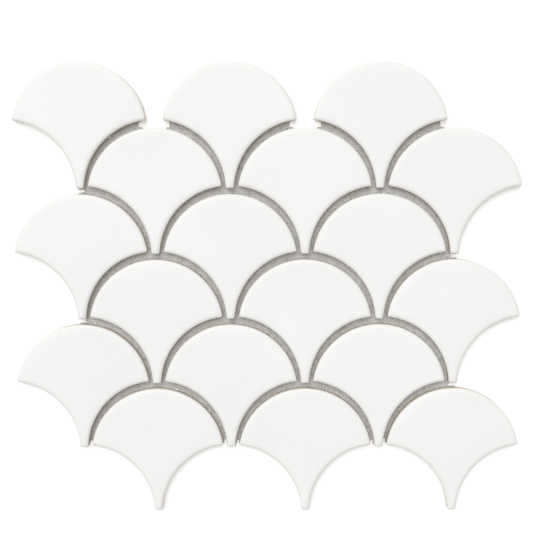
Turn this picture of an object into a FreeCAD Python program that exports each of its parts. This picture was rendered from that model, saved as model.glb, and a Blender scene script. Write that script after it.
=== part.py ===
"""Mesh-backed sheet of fish scale mosaic: staggered rows of fan-shaped ceramic tiles on a backing net.

Every tile has a round crown, two shoulders, two hollow flanks that follow the crowns of the row below, and
a narrow blunt tip. The rows are set half a column apart, so each tip points down between two shoulders, at
the top of the crown two rows below. The net is glued to the backs, shows in the joints and is trimmed just
inside the outer edges of the tiles.

Frame, in millimetres: the sheet lies face up, +X to the right, +Y towards the crowns and +Z out of the
glazed faces. The origin is the middle of the sheet's outline, on the underside of the net.
"""

import FreeCAD
import Part

import os

import Sketcher
from FreeCAD import Vector

ROW_COUNT = 6
COLUMN_COUNT = 3

SIZES = {
    "crown_radius": 37.5,  # round head of a tile
    "tile_height": 70.0,  # top of the crown to the end of the tip
    "neck_width": 4.5,  # tile between its two hollow flanks, where they come nearest
    "tile_thickness": 6.0,
    "flank_joint": 1.9,  # joint beside a crown, where it is narrowest
    "flank_lift": 2.5,  # how much wider that joint gets over the top of the crown
    "tip_joint": 3.0,  # end of a tip to the crown below it
    "corner_bevel": 1.0,  # shoulders and tip, seen from the front
    "face_bevel": 1.0,  # eased edge round the glazed face
    "net_thickness": 0.4,
    "net_setback": 2.5,  # outer edge of the tiles to the trimmed edge of the net
}

# What follows from the sizes: a tile's flanks are arcs about two points below its crown.
LAYOUT = {
    "flank_radius": "dims.crown_radius + dims.flank_joint",
    "half_pitch": "flank_radius + dims.neck_width / 2",
    "row_pitch": "(dims.tile_height + dims.tip_joint) / 2",
    "flank_drop": "row_pitch - dims.flank_lift",
    "tip_depth": "dims.tile_height - dims.crown_radius",
    "top_row": f"({ROW_COUNT - 1} * row_pitch + tip_depth - dims.crown_radius) / 2",
}

UP = Vector(0, 0, 1)


def make_sheet(doc):
    """Spreadsheet of the driving dimensions, one named cell each."""
    sheet = doc.addObject("Spreadsheet::Sheet", "dims")
    for line, (name, value) in enumerate(SIZES.items(), start=1):
        sheet.set(f"A{line}", name)
        sheet.set(f"B{line}", str(value))
        sheet.setAlias(f"B{line}", name)
    doc.recompute()
    return sheet


def make_layout(doc):
    """Pitches, radii and offsets worked out from the driving dimensions."""
    layout = doc.addObject("App::VarSet", "layout")
    for name in LAYOUT:
        layout.addProperty("App::PropertyFloat", name)
    for name, formula in LAYOUT.items():
        layout.setExpression(name, formula)
    doc.recompute()
    return layout


def arc(circle, start, end):
    """Arc of a circle, anticlockwise from the point start to the point end."""
    return Part.ArcOfCircle(circle, circle.parameter(start), circle.parameter(end))


def draw_outline(sketch, dims, layout):
    """Closed outline of a tile about the centre of its crown, with every size tied to the sheet."""
    crown_circle = Part.Circle(Vector(), UP, dims.crown_radius)
    flank_circle = Part.Circle(Vector(layout.half_pitch, -layout.flank_drop), UP, layout.flank_radius)
    tip_level = Vector(layout.half_pitch, -layout.tip_depth)
    tip_line = Part.LineSegment(Vector(-tip_level.x, tip_level.y), tip_level)
    crown_meets_flank = [point.toShape().Point for point in crown_circle.intersect(flank_circle)]
    flank_meets_tip = [point.toShape().Point for point in flank_circle.intersect(tip_line)]
    shoulder = max(crown_meets_flank, key=lambda point: point.y)
    tip = min(flank_meets_tip, key=lambda point: point.x)
    left_circle = Part.Circle(Vector(-layout.half_pitch, -layout.flank_drop), UP, layout.flank_radius)
    left_shoulder, left_tip = Vector(-shoulder.x, shoulder.y), Vector(-tip.x, tip.y)

    crown = sketch.addGeometry(arc(crown_circle, shoulder, left_shoulder))
    left = sketch.addGeometry(arc(left_circle, left_tip, left_shoulder))
    bottom = sketch.addGeometry(Part.LineSegment(left_tip, tip))
    right = sketch.addGeometry(arc(flank_circle, shoulder, tip))

    def tie(kind, *where):
        return sketch.addConstraint(Sketcher.Constraint(kind, *where))

    def size(kind, formula, *where):
        number = tie(kind, *where)
        sketch.setExpression(f"Constraints[{number}]", formula)

    start, end, centre = 1, 2, 3
    origin = (-1, 1)
    tie("Coincident", crown, centre, *origin)
    tie("Coincident", crown, end, left, end)
    tie("Coincident", left, start, bottom, start)
    tie("Coincident", bottom, end, right, end)
    tie("Coincident", right, start, crown, start)
    tie("Horizontal", bottom)
    size("Radius", "dims.crown_radius", crown, dims.crown_radius)
    size("DistanceY", "layout.tip_depth", bottom, start, *origin, layout.tip_depth)
    for flank, outward in ((left, ((left, centre), origin)), (right, (origin, (right, centre)))):
        size("Radius", "layout.flank_radius", flank, layout.flank_radius)
        size("DistanceX", "layout.half_pitch", *outward[0], *outward[1], layout.half_pitch)
        size("DistanceY", "layout.flank_drop", flank, centre, *origin, layout.flank_drop)


def edges_where(feature, wanted):
    """Names of the feature's edges that run the wanted way, each judged by its bounding box."""
    return [f"Edge{n}" for n, edge in enumerate(feature.Shape.Edges, start=1) if wanted(edge.BoundBox)]


def make_tile(doc, dims, layout, row, column):
    """One fired tile: the outline padded up from its back, with eased corners and an eased face edge.

    Row 0 is the top one, and odd rows are set half a column to the right of even ones."""
    name = f"tile_row{row + 1}_col{column + 1}"
    body = doc.addObject("PartDesign::Body", name)
    body.Label = name
    plane = next(item for item in body.Origin.OriginFeatures if item.Role == "XY_Plane")

    sketch = body.newObject("Sketcher::SketchObject", f"{name}_outline")
    sketch.AttachmentSupport = (plane, [""])
    sketch.MapMode = "FlatFace"
    draw_outline(sketch, dims, layout)

    pad = body.newObject("PartDesign::Pad", f"{name}_pad")
    pad.Profile = sketch
    pad.setExpression("Length", "dims.tile_thickness")
    doc.recompute()

    corners = body.newObject("PartDesign::Chamfer", f"{name}_corners")
    corners.Base = (pad, edges_where(pad, lambda box: box.ZLength > box.DiagonalLength / 2))
    corners.setExpression("Size", "dims.corner_bevel")
    doc.recompute()

    face_edge = body.newObject("PartDesign::Chamfer", f"{name}_face_edge")
    face_edge.Base = (corners, edges_where(corners, lambda box: box.ZMin > dims.tile_thickness / 2))
    face_edge.setExpression("Size", "dims.face_bevel")
    body.Tip = face_edge

    half_columns = 2 * column - COLUMN_COUNT + 1 + (row % 2) - 0.5
    body.setExpression("Placement.Base.x", f"{half_columns} * layout.half_pitch")
    body.setExpression("Placement.Base.y", f"layout.top_row - {row} * layout.row_pitch")
    body.setExpression("Placement.Base.z", "dims.net_thickness")
    return body


def make_net(doc, dims, layout, tiles):
    """The backing net as one thin sheet with its true trimmed outline.

    The outlines of the tiles are grown until they close the joints, but not the open gaps between the top
    shoulders. They are joined, and drawn in again past the tiles' own edges."""
    outline = Part.Face(Part.Wire(tiles[0].Group[0].Shape.Edges))
    joint = dims.flank_joint + dims.flank_lift
    shoulder_gap = 2 * layout.half_pitch - outline.BoundBox.XLength
    growth = (joint + shoulder_gap) / 4
    grown = []
    for tile in tiles:
        cell = outline.makeOffset2D(growth)
        cell.translate(Vector(tile.Placement.Base.x, tile.Placement.Base.y) - outline.Placement.Base)
        grown.append(cell)
    joined = grown[0].multiFuse(grown[1:]).removeSplitter().Faces[0]
    trimmed = Part.Face(joined.OuterWire).makeOffset2D(-growth - dims.net_setback)

    net = doc.addObject("Part::Feature", "backing_net")
    net.Label = "backing_net"
    net.Shape = trimmed.extrude(dims.net_thickness * UP)
    net.Placement = FreeCAD.Placement()
    return net


def main():
    doc = FreeCAD.newDocument("fish_scale_sheet")
    dims = make_sheet(doc)
    layout = make_layout(doc)
    places = [(row, column) for row in range(ROW_COUNT) for column in range(COLUMN_COUNT)]
    pieces = [make_tile(doc, dims, layout, row, column) for row, column in places]
    doc.recompute()
    pieces.append(make_net(doc, dims, layout, pieces))
    doc.recompute()

    failed = [item.Name for item in doc.Objects if {"Invalid", "Error"} & set(item.State)]
    if failed:
        raise RuntimeError(f"these objects failed to build: {failed}")
    for piece in pieces:
        if piece.Shape.isNull() or not piece.Shape.isValid():
            raise RuntimeError(f"{piece.Label} has no valid shape")
    os.makedirs("parts", exist_ok=True)
    for piece in pieces:
        piece.Shape.exportStep(f"parts/{piece.Label}.step")
        print(piece.Label, "volume", round(piece.Shape.Volume, 1), "solids", len(piece.Shape.Solids))


main()
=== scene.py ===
"""Fish scale mosaic sheet: white glazed fan tiles on a glued backing net, seen from above on white."""

import math
import random

import bpy
from mathutils import Euler, Matrix, Vector, noise


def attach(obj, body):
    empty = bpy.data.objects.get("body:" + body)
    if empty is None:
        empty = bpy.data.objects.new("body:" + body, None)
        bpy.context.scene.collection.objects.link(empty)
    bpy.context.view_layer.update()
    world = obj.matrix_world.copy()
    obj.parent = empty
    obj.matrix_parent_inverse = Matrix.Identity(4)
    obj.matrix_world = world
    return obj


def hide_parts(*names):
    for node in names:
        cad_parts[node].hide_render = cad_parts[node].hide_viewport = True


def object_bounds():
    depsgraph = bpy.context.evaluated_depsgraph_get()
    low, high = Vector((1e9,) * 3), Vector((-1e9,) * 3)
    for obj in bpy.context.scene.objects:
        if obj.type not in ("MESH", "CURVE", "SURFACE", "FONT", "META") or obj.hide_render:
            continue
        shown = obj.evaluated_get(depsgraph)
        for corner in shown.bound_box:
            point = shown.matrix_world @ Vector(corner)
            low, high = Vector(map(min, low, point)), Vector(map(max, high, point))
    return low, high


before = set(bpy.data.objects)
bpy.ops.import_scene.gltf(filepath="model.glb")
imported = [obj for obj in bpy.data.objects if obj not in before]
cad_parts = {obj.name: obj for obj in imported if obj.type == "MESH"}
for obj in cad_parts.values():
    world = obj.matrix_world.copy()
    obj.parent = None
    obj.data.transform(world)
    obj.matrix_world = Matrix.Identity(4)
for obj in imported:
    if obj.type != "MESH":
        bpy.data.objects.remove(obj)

CAD_BOX = [list(corner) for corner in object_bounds()]
MM = 0.001

# Sheet and tile, in millimetres, as in the part.
ROWS, COLUMNS = 6, 3
CROWN_RADIUS = 37.5
TILE_HEIGHT = 70.0
NECK_WIDTH = 4.5
TILE_THICKNESS = 6.0
FLANK_JOINT = 1.9
FLANK_LIFT = 2.5
TIP_JOINT = 3.0
NET_THICKNESS = 0.4

FLANK_RADIUS = CROWN_RADIUS + FLANK_JOINT
HALF_PITCH = FLANK_RADIUS + NECK_WIDTH / 2
ROW_PITCH = (TILE_HEIGHT + TIP_JOINT) / 2
FLANK_DROP = ROW_PITCH - FLANK_LIFT
TIP_DEPTH = TILE_HEIGHT - CROWN_RADIUS
TOP_ROW = ((ROWS - 1) * ROW_PITCH + TIP_DEPTH - CROWN_RADIUS) / 2

# Edges of a tile, in millimetres. The middle of the eased back edge is in shares of BACK_EASE.
CORNER_RADIUS = 1.0
BACK_EASE = 0.3
EASE_HEIGHT, EASE_SETBACK = 0.35, 0.3
ROLL_DROP, ROLL_WIDTH = 1.05, 2.0
PILLOW_DROP, PILLOW_WIDTH = 0.22, 6.0
PILLOW_CURVE = 2.5
# Reach in from the edge of the thin glaze and of the painted shade along the rolled edge.
THIN_GLAZE_AND_SHADE_DEPTH = 2.6

# Unevenness of a pressed and fired tile, in millimetres. The rates say how fast the wall's unevenness changes
# round the tile and up the wall.
WALL_WOBBLE = 0.06
ROUND_RATE, UP_RATE = 2.6, 0.05
FACE_SWELL, SWELL_LENGTH = 0.035, 21.0
HUB_SINK = 0.03

# Seeds of the random draws, and how far apart the pieces read the noise.
TILE_SEED, WEFT_SEED, WARP_SEED, GLUE_SEED = 100, 7, 8, 21
DRIFT = 50

# Mesh of a tile: rays from its hub, and rings across them at depths in millimetres inside its edge.
HUB = Vector((0.0, 4.0))
CROWN_STEPS, FLANK_STEPS, TIP_STEPS, WALL_STEPS = 104, 60, 8, 6
EDGE_DEPTHS = [0.0, 0.03, 0.1, 0.22, 0.4, 0.65, 0.95, 1.3, 1.75, 2.4, 3.3, 4.6, 6.2]
INNER_SHARES = [0.86, 0.7, 0.53, 0.36, 0.19]
SEARCH_REACH, SEARCH_STEPS = 60.0, 26

# Net of flat yarns, in millimetres. A yarn's section is in shares of its width and depth.
YARN_PITCH = 3.0
YARN_WIDTH = 0.62
YARN_WIDTH_SHARES = (0.85, 1.12)
YARN_DEPTH = 0.19
YARN_SECTION = [(-0.5, 0.0), (-0.27, 0.42), (0.27, 0.42), (0.5, 0.0), (0.27, -0.42), (-0.27, -0.42)]
WEAVE_LIFT = 0.09
YARN_SWAY, SWAY_LENGTH = 0.32, 28.0
YARN_TRIM = (0.3, 1.1)
OFF_CORNERS = 0.0137  # keeps the line of a yarn off the corners of the net's outline

# Films of glue across the cells of the net, in millimetres. A ring is a share of half a cell and its top.
WEB_REACH = 2.2
WEB_REACH_SHARES = (0.3, 1.0)
WEB_SIDES = 8
WEB_RINGS = [(1.0, 0.21), (0.66, 0.15)]
WEB_CORE, WEB_CORE_TOP = 0.3, 0.12
WEB_BOTTOM = 0.07
WEB_SLUMP = 0.02
WEB_SHARES = (0.85, 1.15)
BURST_CHANCE, BURST_SHARES = 0.1, (0.12, 0.28)

# Beads of glue along the foot of the walls, in millimetres. They reach a little way into the tile. The rates
# say how fast their height changes along the wall, and the spreads are shares of their full reach.
BEAD_WIDTH = 0.75
BEAD_ROOT, BEAD_SHOULDER = 0.1, 0.32 * BEAD_WIDTH
BEAD_BOTTOM, BEAD_TOE = 0.06, 0.14
BEAD_HEIGHT, BEAD_SWING, BEAD_TALLEST = 0.75, 0.8, 1.4
BEAD_SWING_LIMIT = 0.8
LONG_RATE, SHORT_RATE = 0.31, 1.1
LEAST_SPREAD, MORE_SPREAD = 0.55, 0.45
SHOULDER_SHARE = 0.36
NEIGHBOUR_REACH = 3.4

# Colours.
GLAZE_WHITES = (0.885, 0.885, 0.872), (0.905, 0.905, 0.895)
MOTTLE_WHITE = (0.87, 0.872, 0.865)
# Thin glaze at the rolled edge, made darker than thin glaze alone as painted shade along the edge.
THIN_GLAZE_AND_SHADE_WHITE = (0.83, 0.815, 0.775)
BODY_BROWNS = (0.49, 0.375, 0.245), (0.61, 0.495, 0.36)
BACK_BROWN = (0.60, 0.525, 0.425)
YARN_GREYS = (0.72, 0.725, 0.72), (0.84, 0.845, 0.84)
FIBRE_GREY = (0.50, 0.495, 0.475)
GLUE_GREYS = (0.53, 0.53, 0.515), (0.71, 0.71, 0.695)
GROUND_WHITE = (0.94, 0.94, 0.94)

# Heights over the floor where a tile's material changes, in metres: where the glaze ends on the wall, how far
# that line wanders, and where the back ends.
GLAZE_LINE = 0.0030, 0.0042
GLAZE_WANDER = 0.0004
BACK_LEVEL = 0.00042, 0.0005

# Ground, in metres, and light.
GROUND_HALF = 3.0
GROUND_GAP = 0.00002
GROUND_GLOW = 0.28
WORLD_LEVEL = 0.46
KEY_LEVEL = 1.985
KEY_BEARING = math.radians(116)
KEY_HEIGHT = math.radians(60)
KEY_SPREAD = math.radians(55)

# Camera, fitted to the photograph. Its distance is in metres, its picture's centre and sensor in millimetres.
# KEYSTONE says how much larger the sheet shows, as a share, per metre further up.
CAMERA_DEPTH = 0.62
CAMERA_ROLL = -0.0022
KEYSTONE = 0.1494
IMAGE_CENTRE = Vector((4.1, 8.1))
PIXELS_PER_METRE = 1794.8
FRAME_PIXELS = 550
SENSOR = 36.0


# Outline of a tile

def tile_centre(row, column):
    """Centre of a tile's crown in plan. Row 0 is the top one."""
    half_columns = 2 * column - COLUMNS + 1 + (row % 2) - 0.5
    return Vector((half_columns * HALF_PITCH, TOP_ROW - row * ROW_PITCH))


def shoulder_point():
    """Right-hand corner where the crown meets the hollow flank."""
    reach = math.hypot(HALF_PITCH, FLANK_DROP)
    along = (reach**2 + CROWN_RADIUS**2 - FLANK_RADIUS**2) / (2 * reach)
    across = math.sqrt(CROWN_RADIUS**2 - along**2)
    right, down = HALF_PITCH / reach, FLANK_DROP / reach
    return Vector((along * right + across * down, across * right - along * down))


def depth_inside(point):
    """Distance from a tile's edge to a point in it, with the tile's corners rounded. Negative outside."""
    x, y = abs(point[0]), point[1]
    crown = CROWN_RADIUS - math.hypot(x, y)
    flank = math.hypot(x - HALF_PITCH, y + FLANK_DROP) - FLANK_RADIUS
    tip = y + TIP_DEPTH

    def meet(a, b):
        rounding = math.hypot(max(CORNER_RADIUS - a, 0), max(CORNER_RADIUS - b, 0))
        return max(CORNER_RADIUS, min(a, b)) - rounding

    return meet(meet(crown, flank), tip)


def graded(start, end, count, grade=0.85):
    """Steps from start to end, closer together near both ends."""
    fractions = [i / count for i in range(count + 1)]
    eased = [f - grade * math.sin(2 * math.pi * f) / (2 * math.pi) for f in fractions]
    return [start + (end - start) * f for f in eased]


def outline_rays():
    """Directions from a tile's hub to points spread round its outline, denser at the corners."""
    shoulder = shoulder_point()
    tip_half = HALF_PITCH - math.sqrt(FLANK_RADIUS**2 - (FLANK_DROP - TIP_DEPTH) ** 2)
    crown_start = math.atan2(shoulder.y, shoulder.x)
    flank_start = math.atan2(FLANK_DROP - TIP_DEPTH, tip_half - HALF_PITCH)
    flank_end = math.atan2(shoulder.y + FLANK_DROP, shoulder.x - HALF_PITCH)
    crown = [Vector((CROWN_RADIUS * math.cos(a), CROWN_RADIUS * math.sin(a)))
             for a in graded(crown_start, math.pi - crown_start, CROWN_STEPS)]
    right = [Vector((HALF_PITCH + FLANK_RADIUS * math.cos(a), FLANK_RADIUS * math.sin(a) - FLANK_DROP))
             for a in graded(flank_start, flank_end, FLANK_STEPS)]
    left = [Vector((-p.x, p.y)) for p in reversed(right)]
    bottom = [Vector((x, -TIP_DEPTH)) for x in graded(-tip_half, tip_half, TIP_STEPS, grade=0.5)]
    points = crown[:-1] + left[:-1] + bottom[:-1] + right[:-1]
    return [(p - HUB).normalized() for p in points]


def reach_to(ray, depth):
    """Distance from the hub along a ray to where the tile is that deep inside its edge."""
    near, far = 0.0, SEARCH_REACH
    for _ in range(SEARCH_STEPS):
        middle = (near + far) / 2
        if depth_inside(HUB + ray * middle) > depth:
            near = middle
        else:
            far = middle
    return near


TILES = [(row, column, tile_centre(row, column)) for row in range(ROWS) for column in range(COLUMNS)]
RAYS = outline_rays()
REACHES = [[reach_to(ray, depth) for ray in RAYS] for depth in EDGE_DEPTHS]
BEAD_REACHES = [[reach_to(ray, depth) for ray in RAYS] for depth in (BEAD_ROOT, -BEAD_SHOULDER, -BEAD_WIDTH)]


# Node trees

def new_material(name):
    """Empty material with one principled shader."""
    material = bpy.data.materials.new(name)
    material.use_nodes = True
    tree = material.node_tree
    tree.nodes.clear()
    output = tree.nodes.new("ShaderNodeOutputMaterial")
    shader = tree.nodes.new("ShaderNodeBsdfPrincipled")
    tree.links.new(shader.outputs["BSDF"], output.inputs["Surface"])
    return material, tree, shader


class Nodes:
    """Short calls for building a node tree. They take sockets or plain values and give back a socket."""

    def __init__(self, tree):
        self.tree = tree

    def link(self, source, target):
        """Feeds an input from a socket, or sets it to a plain value."""
        if hasattr(source, "is_linked"):
            self.tree.links.new(source, target)
        else:
            target.default_value = source

    def noise(self, coords, scale, detail=2.0, rough=0.5):
        node = self.tree.nodes.new("ShaderNodeTexNoise")
        node.inputs["Scale"].default_value = scale
        node.inputs["Detail"].default_value = detail
        node.inputs["Roughness"].default_value = rough
        self.link(coords, node.inputs["Vector"])
        return node.outputs["Fac"]

    def ramp(self, value, from_min, from_max, to_min=0.0, to_max=1.0, smooth=False):
        node = self.tree.nodes.new("ShaderNodeMapRange")
        node.interpolation_type = "SMOOTHSTEP" if smooth else "LINEAR"
        self.link(value, node.inputs["Value"])
        limits = {"From Min": from_min, "From Max": from_max, "To Min": to_min, "To Max": to_max}
        for name, limit in limits.items():
            self.link(limit, node.inputs[name])
        return node.outputs["Result"]

    def mix(self, factor, first, second):
        node = self.tree.nodes.new("ShaderNodeMix")
        node.data_type = "RGBA"
        self.link(factor, node.inputs["Factor"])
        colours = [socket for socket in node.inputs if socket.type == "RGBA"]
        for socket, colour in zip(colours, (first, second)):
            self.link(colour if hasattr(colour, "is_linked") else (*colour, 1.0), socket)
        return next(socket for socket in node.outputs if socket.type == "RGBA")

    def maths(self, operation, *values):
        node = self.tree.nodes.new("ShaderNodeMath")
        node.operation = operation
        for socket, value in zip(node.inputs, values):
            self.link(value, socket)
        return node.outputs["Value"]

    def bump(self, height, strength, distance, normal=None):
        node = self.tree.nodes.new("ShaderNodeBump")
        node.inputs["Strength"].default_value = strength
        node.inputs["Distance"].default_value = distance
        self.link(height, node.inputs["Height"])
        if normal is not None:
            self.link(normal, node.inputs["Normal"])
        return node.outputs["Normal"]

    def attribute(self, name):
        node = self.tree.nodes.new("ShaderNodeAttribute")
        node.attribute_name = name
        return node.outputs["Fac"]

    def position(self):
        return self.tree.nodes.new("ShaderNodeTexCoord").outputs["Object"]

    def split(self, vector):
        node = self.tree.nodes.new("ShaderNodeSeparateXYZ")
        self.link(vector, node.inputs["Vector"])
        return node.outputs


# Materials

def tile_material():
    """White glaze over the face and the top of the walls, bare brown body below its uneven line. Towards the
    rolled edge the face darkens: partly thin glaze, partly painted shade.
    """
    material, tree, shader = new_material("white_glaze")
    n = Nodes(tree)
    place = n.position()
    height = n.split(place)["Z"]
    broad = n.noise(place, scale=16.0)
    mottle = n.noise(place, scale=260.0, detail=3.0)
    clay = n.noise(place, scale=900.0, detail=3.0)
    grain = n.noise(place, scale=5200.0, detail=4.0, rough=0.6)
    depth = n.attribute("edge_depth")

    wander = n.ramp(n.noise(place, scale=330.0), 0.3, 0.7, -GLAZE_WANDER, GLAZE_WANDER)
    glazed = n.ramp(n.maths("ADD", height, wander), *GLAZE_LINE, smooth=True)
    bare = n.ramp(glazed, 0.0, 1.0, 1.0, 0.0)
    above_back = n.ramp(height, *BACK_LEVEL)

    face = n.mix(n.ramp(broad, 0.35, 0.65), *GLAZE_WHITES)
    face = n.mix(n.ramp(mottle, 0.55, 0.8, 0.0, 0.2), face, MOTTLE_WHITE)
    # Darker towards the rolled edge: partly thin glaze, partly painted shade that deepens the edge's shaded
    # side and damps its highlight on the lit side.
    thin_glaze_and_shade = n.ramp(depth, 0.0, THIN_GLAZE_AND_SHADE_DEPTH, 1.0, 0.0, smooth=True)
    face = n.mix(n.maths("MULTIPLY", thin_glaze_and_shade, 0.6), face, THIN_GLAZE_AND_SHADE_WHITE)
    body = n.mix(n.ramp(clay, 0.35, 0.7), *BODY_BROWNS)
    body = n.mix(above_back, BACK_BROWN, body)
    n.link(n.mix(glazed, body, face), shader.inputs["Base Color"])

    satin = n.ramp(n.noise(place, scale=700.0), 0.3, 0.7, 0.46, 0.54)
    n.link(n.ramp(glazed, 0.0, 1.0, 0.85, satin), shader.inputs["Roughness"])
    shader.inputs["IOR"].default_value = 1.5
    ripple = n.bump(n.noise(place, scale=420.0), strength=0.12, distance=0.0001)
    sand = n.bump(n.maths("MULTIPLY", grain, bare), strength=0.5, distance=0.0001, normal=ripple)
    n.link(sand, shader.inputs["Normal"])
    return material


def yarn_material():
    """Pale glass-fibre yarn, stiff with glue."""
    material, tree, shader = new_material("net_yarn")
    n = Nodes(tree)
    place = n.position()
    along = n.attribute("along")
    patches = n.noise(place, scale=95.0, detail=3.0)
    fibres = n.noise(place, scale=4200.0, detail=3.0, rough=0.65)
    twist = n.maths("SINE", n.maths("MULTIPLY", along, 5200.0))
    yarn = n.mix(n.ramp(patches, 0.35, 0.68), *YARN_GREYS)
    yarn = n.mix(n.ramp(fibres, 0.4, 0.75, 0.0, 0.6), yarn, FIBRE_GREY)
    n.link(yarn, shader.inputs["Base Color"])
    n.link(n.ramp(patches, 0.3, 0.7, 0.42, 0.72), shader.inputs["Roughness"])
    strands = n.bump(n.ramp(twist, -1.0, 1.0), strength=0.5, distance=0.00008)
    n.link(n.bump(fibres, strength=0.5, distance=0.00006, normal=strands), shader.inputs["Normal"])
    return material


def glue_material():
    """Dried milky glue, pale grey and cloudy."""
    material, tree, shader = new_material("dried_glue")
    n = Nodes(tree)
    place = n.position()
    clouds = n.noise(place, scale=240.0, detail=3.0)
    n.link(n.mix(n.ramp(clouds, 0.35, 0.7), *GLUE_GREYS), shader.inputs["Base Color"])
    n.link(n.ramp(clouds, 0.3, 0.7, 0.25, 0.45), shader.inputs["Roughness"])
    n.link(n.bump(n.noise(place, scale=900.0), strength=0.35, distance=0.0001), shader.inputs["Normal"])
    return material


def floor_material():
    """White paper ground. It glows a little for the camera and in reflections, to show pure white."""
    material = bpy.data.materials.new("white_ground")
    material.use_nodes = True
    tree = material.node_tree
    tree.nodes.clear()
    output = tree.nodes.new("ShaderNodeOutputMaterial")
    diffuse = tree.nodes.new("ShaderNodeBsdfDiffuse")
    diffuse.inputs["Color"].default_value = (*GROUND_WHITE, 1.0)
    glow = tree.nodes.new("ShaderNodeEmission")
    rays = tree.nodes.new("ShaderNodeLightPath")
    n = Nodes(tree)
    seen = n.maths("MAXIMUM", rays.outputs["Is Camera Ray"], rays.outputs["Is Glossy Ray"])
    seen = n.maths("MAXIMUM", seen, rays.outputs["Is Transmission Ray"])
    n.link(n.maths("MULTIPLY", seen, GROUND_GLOW), glow.inputs["Strength"])
    both = tree.nodes.new("ShaderNodeAddShader")
    tree.links.new(diffuse.outputs[0], both.inputs[0])
    tree.links.new(glow.outputs[0], both.inputs[1])
    tree.links.new(both.outputs[0], output.inputs["Surface"])
    return material


# Meshes and objects

def smooth_mesh(name, verts, faces, attribute="", values=()):
    """Smooth-shaded mesh. If an attribute is named, each point keeps its value under that name."""
    mesh = bpy.data.meshes.new(name)
    mesh.from_pydata(verts, [], faces)
    if attribute:
        layer = mesh.attributes.new(attribute, "FLOAT", "POINT")
        layer.data.foreach_set("value", values)
    for polygon in mesh.polygons:
        polygon.use_smooth = True
    mesh.update()
    return mesh


def add_object(name, mesh, material):
    piece = bpy.data.objects.new(name, mesh)
    mesh.materials.append(material)
    bpy.context.scene.collection.objects.link(piece)
    return piece


# Tiles

def face_height(depth):
    """Height of the glazed face over a tile's back, that deep inside its edge."""
    roll = max(1 - depth / ROLL_WIDTH, 0)
    pillow = max(1 - depth / PILLOW_WIDTH, 0)
    return TILE_THICKNESS - ROLL_DROP * (1 - math.sqrt(1 - roll**2)) - PILLOW_DROP * pillow**PILLOW_CURVE


def make_tile_mesh(name, centre, seed):
    """One tile as a closed mesh: flat back, straight walls, rolled edge and softly pillowed face."""
    rng = random.Random(seed)
    drift = Vector([rng.uniform(-DRIFT, DRIFT) for _ in range(3)])
    base = NET_THICKNESS
    verts, depths = [], []

    def wobble(ray, height):
        """Unevenness of the edge there, always inwards and at most twice WALL_WOBBLE."""
        at = drift + Vector((ray.x * ROUND_RATE, ray.y * ROUND_RATE, height * UP_RATE))
        return WALL_WOBBLE + WALL_WOBBLE * noise.noise(at)

    def ring(reaches, height, depth, shrink=0.0):
        """Points round the tile at a height over its back, drawn in by shrink."""
        fade = max(1 - depth / PILLOW_WIDTH, 0)
        for ray, reach in zip(RAYS, reaches):
            plan = HUB + ray * (reach - shrink - wobble(ray, height) * fade)
            swell = FACE_SWELL * noise.noise(drift + Vector((plan.x, plan.y, 0)) / SWELL_LENGTH) * (1 - fade)
            level = base + height + swell - FACE_SWELL * (1 - fade)
            verts.append((centre + plan).to_3d() * MM + Vector((0, 0, level * MM)))
            depths.append(depth)

    edge = REACHES[0]
    wall_top = face_height(0.0)
    ring(edge, 0.0, 0.0, BACK_EASE)
    ring(edge, BACK_EASE * EASE_HEIGHT, 0.0, BACK_EASE * EASE_SETBACK)
    ring(edge, BACK_EASE, 0.0)
    for step in range(1, WALL_STEPS):
        ring(edge, BACK_EASE + (wall_top - BACK_EASE) * step / WALL_STEPS, 0.0)
    for depth, reaches in zip(EDGE_DEPTHS, REACHES):
        ring(reaches, face_height(depth), depth)
    for share in INNER_SHARES:
        ring([reach * share for reach in REACHES[-1]], TILE_THICKNESS, PILLOW_WIDTH * (2 - share))

    count = len(RAYS)
    last = len(verts) - count
    faces = []
    for lower in range(0, last, count):
        upper = lower + count
        for i in range(count):
            j = (i + 1) % count
            faces.append((lower + i, lower + j, upper + j, upper + i))
    top, bottom = len(verts), len(verts) + 1
    hub = (centre + HUB).to_3d() * MM
    verts.append(hub + Vector((0, 0, (base + TILE_THICKNESS - HUB_SINK) * MM)))
    verts.append(hub + Vector((0, 0, base * MM)))
    depths += [PILLOW_WIDTH * 2, 0.0]
    for i in range(count):
        j = (i + 1) % count
        faces.append((last + i, last + j, top))
        faces.append((j, i, bottom))
    return smooth_mesh(name, [tuple(v) for v in verts], faces, "edge_depth", depths)


def make_tiles():
    glaze = tile_material()
    for number, (row, column, centre) in enumerate(TILES):
        name = f"fan_tile_row{row + 1}_col{column + 1}"
        piece = add_object(name, make_tile_mesh(name, centre, TILE_SEED + number), glaze)
        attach(piece, "root")
        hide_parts(f"tile_row{row + 1}_col{column + 1}")


# Net

def net_outline():
    """Edges of the CAD net's top face, as pairs of plan points in millimetres."""
    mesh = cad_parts["backing_net"].data
    corners = [vert.co / MM for vert in mesh.vertices]
    uses = {}
    for polygon in mesh.polygons:
        if polygon.normal.z < 0.9:
            continue
        ring = [(round(corners[v].x, 3), round(corners[v].y, 3)) for v in polygon.vertices]
        for a, b in zip(ring, ring[1:] + ring[:1]):
            edge = (min(a, b), max(a, b))
            uses[edge] = uses.get(edge, 0) + 1
    return [edge for edge, count in uses.items() if count == 1]


def covered_runs(outline, across, offset):
    """Stretches of the straight line at that offset that lie in the outline, as (first, last) places."""
    fixed, free = (1, 0) if across else (0, 1)
    crossings = []
    for a, b in outline:
        low, high = a[fixed], b[fixed]
        if (low > offset) != (high > offset):
            crossings.append(a[free] + (b[free] - a[free]) * (offset - low) / (high - low))
    crossings.sort()
    return list(zip(crossings[::2], crossings[1::2]))


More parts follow.
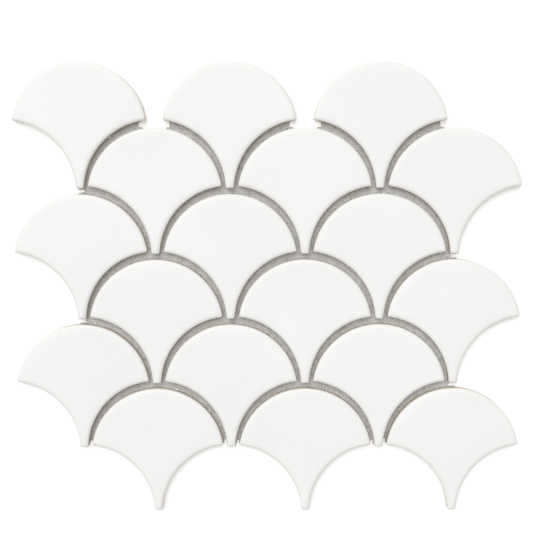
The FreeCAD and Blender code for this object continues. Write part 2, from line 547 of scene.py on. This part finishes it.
def make_yarns(name, outline, across, phase, seed):
    """All yarns of one direction as one mesh. across is True for the yarns that run along X. The phases of
    the two directions are 0 and 1, so that each goes over where the other goes under."""
    rng = random.Random(seed)
    verts, faces, along_values = [], [], []
    lines = int(CAD_BOX[1][1 if across else 0] / MM / YARN_PITCH)
    size = len(YARN_SECTION)
    for line in range(-lines, lines + 1):
        offset = line * YARN_PITCH
        drift = rng.uniform(-DRIFT, DRIFT)
        width = YARN_WIDTH * rng.uniform(*YARN_WIDTH_SHARES)
        for first, last in covered_runs(outline, across, offset + OFF_CORNERS):
            first, last = first + rng.uniform(*YARN_TRIM), last - rng.uniform(*YARN_TRIM)
            if last - first < YARN_PITCH:
                continue
            steps = max(round((last - first) / (YARN_PITCH / 2)), 1)
            start = len(verts)
            for i in range(steps + 1):
                at = first + (last - first) * i / steps
                turn = math.pi * at / YARN_PITCH + math.pi * ((line + phase) % 2)
                rise = NET_THICKNESS / 2 + WEAVE_LIFT * math.cos(turn)
                sway = offset + YARN_SWAY * noise.noise(Vector((at / SWAY_LENGTH, drift, 0.0)))
                axis = Vector((at, sway) if across else (sway, at))
                for side, up in YARN_SECTION:
                    shift = side * width
                    point = axis + Vector((0, shift) if across else (shift, 0))
                    verts.append((point.x * MM, point.y * MM, (rise + up * YARN_DEPTH) * MM))
                    along_values.append(at * MM)
            for i in range(steps):
                for k in range(size):
                    a = start + i * size + k
                    b = start + i * size + (k + 1) % size
                    faces.append((a, a + size, b + size, b))
            faces.append(tuple(start + k for k in range(size)))
            faces.append(tuple(start + steps * size + k for k in reversed(range(size))))
    return smooth_mesh(name, verts, faces, "along", along_values)


def add_web(verts, faces, middle, rng):
    """One film of glue across a cell: thick at the yarns, less thick in the middle, sometimes burst open
    there.
    """
    half = YARN_PITCH / 2
    burst = rng.random() < BURST_CHANCE
    core = rng.uniform(*BURST_SHARES) if burst else WEB_CORE
    slump = rng.uniform(-WEB_SLUMP, WEB_SLUMP)
    rings = [*WEB_RINGS, (core, WEB_CORE_TOP)]
    start = len(verts)
    for under in (False, True):
        for share, top in rings:
            height = (WEB_BOTTOM if under else top) + slump * (1 - share)
            for k in range(WEB_SIDES):
                turn = 2 * math.pi * (k + 0.5) / WEB_SIDES
                if share == 1.0:
                    reach = half * (1 / max(abs(math.cos(turn)), abs(math.sin(turn))))
                else:
                    reach = half * share * rng.uniform(*WEB_SHARES)
                spot = middle + reach * Vector((math.cos(turn), math.sin(turn)))
                verts.append((spot.x * MM, spot.y * MM, height * MM))

    ring_starts = [start + number * WEB_SIDES for number in range(2 * len(rings))]
    over, below = ring_starts[:len(rings)], ring_starts[len(rings):]
    for k in range(WEB_SIDES):
        j = (k + 1) % WEB_SIDES
        for level in range(len(rings) - 1):
            faces.append((over[level] + k, over[level] + j, over[level + 1] + j, over[level + 1] + k))
            faces.append((below[level] + j, below[level] + k, below[level + 1] + k, below[level + 1] + j))
        faces.append((over[0] + j, over[0] + k, below[0] + k, below[0] + j))
        if burst:
            faces.append((over[-1] + k, over[-1] + j, below[-1] + j, below[-1] + k))
    if not burst:
        faces.append(tuple(over[-1] + k for k in range(WEB_SIDES)))
        faces.append(tuple(below[-1] + k for k in reversed(range(WEB_SIDES))))


def bead_section(edge, inner, shoulder, foot):
    """Section of a bead at a place on the tile's edge, as (reach from the hub, level over the floor). A low
    bead also spreads less."""
    uneven = noise.noise(edge.to_3d() * LONG_RATE) + 0.5 * noise.noise(edge.to_3d() * SHORT_RATE)
    height = BEAD_HEIGHT + BEAD_SWING * max(-BEAD_SWING_LIMIT, min(uneven, BEAD_SWING_LIMIT))
    spread = LEAST_SPREAD + MORE_SPREAD * height / BEAD_TALLEST
    shoulder_reach = inner + (shoulder - inner) * spread
    foot_reach = inner + (foot - inner) * spread
    return (
        (inner, BEAD_BOTTOM),
        (inner, BEAD_TOE + height),
        (shoulder_reach, BEAD_TOE + SHOULDER_SHARE * height),
        (foot_reach, BEAD_TOE),
        (foot_reach, BEAD_BOTTOM),
    )


def add_bead(verts, faces, centre):
    """Uneven bead of glue round the foot of a tile, wherever another tile stands beside it."""
    others = [other for _, _, other in TILES if other != centre]
    loops = []
    for ray, inner, shoulder, foot in zip(RAYS, *BEAD_REACHES):
        edge = centre + HUB + ray * inner
        if all(depth_inside(edge - other) < -NEIGHBOUR_REACH for other in others):
            loops.append(None)
            continue
        section = bead_section(edge, inner, shoulder, foot)
        loops.append(range(len(verts), len(verts) + len(section)))
        for reach, level in section:
            verts.append(((centre + HUB + ray * reach) * MM).to_3d() + Vector((0, 0, level * MM)))

    for i, here in enumerate(loops):
        if here is None:
            continue
        there = loops[(i + 1) % len(loops)]
        if loops[i - 1] is None:
            faces.append(tuple(here))
        if there is None:
            faces.append(tuple(reversed(here)))
            continue
        for k, point in enumerate(here):
            j = (k + 1) % len(here)
            faces.append((point, there[k], there[j], here[j]))


def make_glue(name, outline):
    """Glue that has run off the tile backs: films across the cells of the net in and beside the joints, and
    beads along the foot of the walls there."""
    rng = random.Random(GLUE_SEED)
    verts, faces = [], []
    rows = int(CAD_BOX[1][1] / MM / YARN_PITCH)
    for row in range(-rows, rows):
        y = (row + 0.5) * YARN_PITCH
        for first, last in covered_runs(outline, True, y):
            for column in range(math.ceil(first / YARN_PITCH), math.floor(last / YARN_PITCH)):
                middle = Vector(((column + 0.5) * YARN_PITCH, y))
                inside = max(depth_inside(middle - centre) for _, _, centre in TILES)
                if inside < WEB_REACH * rng.uniform(*WEB_REACH_SHARES):
                    add_web(verts, faces, middle, rng)
    for _, _, centre in TILES:
        add_bead(verts, faces, centre)
    return smooth_mesh(name, verts, faces)


def ride_as_net(piece):
    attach(piece, "root")
    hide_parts("backing_net")


def make_net():
    yarn = yarn_material()
    outline = net_outline()
    for name, across, phase, seed in (("net_weft", True, 0, WEFT_SEED), ("net_warp", False, 1, WARP_SEED)):
        ride_as_net(add_object(name, make_yarns(name, outline, across, phase, seed), yarn))
    ride_as_net(add_object("net_glue", make_glue("net_glue", outline), glue_material()))


# Stage, light and camera

def make_ground():
    """Large white sheet a hair below the object."""
    mesh = bpy.data.meshes.new("ground")
    corners = [(x * GROUND_HALF, y * GROUND_HALF, 0) for x, y in ((-1, -1), (1, -1), (1, 1), (-1, 1))]
    mesh.from_pydata(corners, [], [(0, 1, 2, 3)])
    floor = add_object("ground", mesh, floor_material())
    floor.location.z = -GROUND_GAP


def make_light():
    """Even white surroundings, and one broad key light from the upper left."""
    world = bpy.data.worlds.new("studio")
    world.use_nodes = True
    background = world.node_tree.nodes["Background"]
    background.inputs["Color"].default_value = (1.0, 1.0, 1.0, 1.0)
    background.inputs["Strength"].default_value = WORLD_LEVEL
    bpy.context.scene.world = world

    lamp = bpy.data.lights.new("key", "SUN")
    lamp.angle = KEY_SPREAD
    lamp.energy = KEY_LEVEL
    key = bpy.data.objects.new("key", lamp)
    bpy.context.scene.collection.objects.link(key)
    level = math.cos(KEY_HEIGHT)
    from_lamp = Vector((level * math.cos(KEY_BEARING), level * math.sin(KEY_BEARING), math.sin(KEY_HEIGHT)))
    key.location = from_lamp
    key.rotation_mode = "QUATERNION"
    key.rotation_quaternion = from_lamp.to_track_quat("Z", "Y")


def make_camera():
    """Camera over the upper half of the sheet, tilted a little, so that the top rows are slightly larger."""
    face = (NET_THICKNESS + TILE_THICKNESS) * MM
    tilt = math.asin(KEYSTONE * CAMERA_DEPTH)
    aim = IMAGE_CENTRE.to_3d() * MM + Vector((0, 0, face))
    data = bpy.data.cameras.new("camera")
    data.sensor_width = SENSOR
    data.lens = SENSOR * PIXELS_PER_METRE * CAMERA_DEPTH / FRAME_PIXELS
    camera = bpy.data.objects.new("camera", data)
    bpy.context.scene.collection.objects.link(camera)
    camera.location = aim + CAMERA_DEPTH * Vector((0, math.sin(tilt), math.cos(tilt)))
    turn = Euler((-tilt, 0, 0)).to_matrix() @ Matrix.Rotation(CAMERA_ROLL, 3, "Z")
    camera.rotation_euler = turn.to_euler()
    bpy.context.scene.camera = camera


make_tiles()
make_net()
make_ground()
make_light()
make_camera()
bpy.context.scene.view_settings.view_transform = "Standard"
